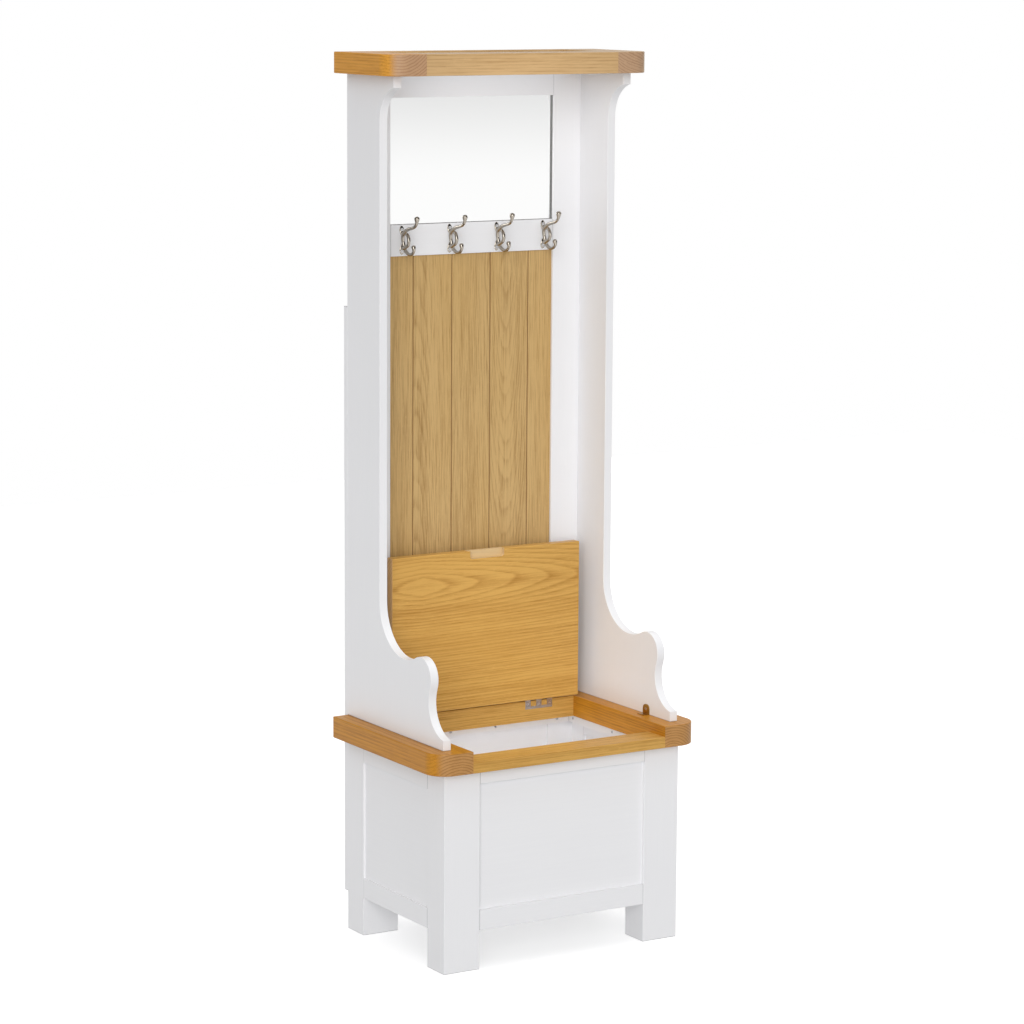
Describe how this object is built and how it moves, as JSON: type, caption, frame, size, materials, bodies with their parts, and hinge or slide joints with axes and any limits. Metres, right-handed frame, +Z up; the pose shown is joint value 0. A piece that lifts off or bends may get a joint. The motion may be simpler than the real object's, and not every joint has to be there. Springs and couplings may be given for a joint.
{
  "type": "hall tree",
  "caption": "Hall tree: a white chest with a lifting oak lid, scrolled uprights, a framed mirror over a hook rail and oak boards, and an oak cornice.",
  "frame": {"origin": "on the floor, under the middle of the whole piece", "axes": "+Z up, -Y towards the front, +X to the right seen from the front; the lid stands open"},
  "size_m": [0.656, 0.459, 1.905],
  "materials": {
    "white_paint": "satin white paint",
    "oak": "clear satin lacquer",
    "mirror": "polished",
    "backing_board": "raw fibreboard",
    "hook_nickel": "satin nickel",
    "bracket_bronze": "dark bronze",
    "hinge_steel": "zinc plated",
    "screw_steel": "zinc plated"
  },
  "bodies": {
    "frame": {"back_board_1": "oak", "back_board_2": "oak", "back_board_3": "oak", "back_board_4": "oak", "back_board_5": "oak", "back_bottom_rail": "white_paint", "back_stile_left": "white_paint", "back_stile_right": "white_paint", "back_top_rail": "white_paint", "chest_floor": "white_paint", "coat_hook_1": "hook_nickel", "coat_hook_2": "hook_nickel", "coat_hook_3": "hook_nickel", "coat_hook_4": "hook_nickel", "corner_bracket_left": "bracket_bronze", "corner_bracket_right": "bracket_bronze", "cornice_panel": "white_paint", "cornice_rail_front": "oak", "cornice_rail_left": "oak", "cornice_rail_rear": "oak", "cornice_rail_right": "oak", "fitting_screws": "screw_steel", "frame_screws": "screw_steel", "front_bottom_rail": "white_paint", "front_leg_left": "white_paint", "front_leg_right": "white_paint", "front_panel": "white_paint", "front_top_rail": "white_paint", "hinge_pins": "hinge_steel", "hinge_rail_leaf_left": "hinge_steel", "hinge_rail_leaf_right": "hinge_steel", "hook_rail": "white_paint", "mirror_backing": "backing_board", "mirror_glass": "mirror", "rear_batten_left": "white_paint", "rear_batten_right": "white_paint", "rear_bottom_rail": "white_paint", "rear_leg_left": "white_paint", "rear_leg_right": "white_paint", "rear_panel": "white_paint", "rear_top_rail": "white_paint", "seat_cleat_left": "white_paint", "seat_cleat_rear": "white_paint", "seat_cleat_right": "white_paint", "seat_rail_front": "oak", "seat_rail_left": "oak", "seat_rail_rear": "oak", "seat_rail_right": "oak", "side_bottom_rail_left": "white_paint", "side_bottom_rail_right": "white_paint", "side_panel_left": "white_paint", "side_panel_right": "white_paint", "side_top_rail_left": "white_paint", "side_top_rail_right": "white_paint", "upright_left": "white_paint", "upright_right": "white_paint"},
    "lid_assembly": {"lid": "oak", "hinge_lid_leaf_left": "hinge_steel", "hinge_lid_leaf_right": "hinge_steel", "hinge_lid_screws": "screw_steel"}
  },
  "joints": [
    {"name": "lid_hinge", "type": "hinge", "parent": "frame", "child": "lid_assembly", "pos_m": [0, 0.1407, 0.4802], "axis": [1, 0, 0], "range_deg": [-7, 90]}
  ]
}
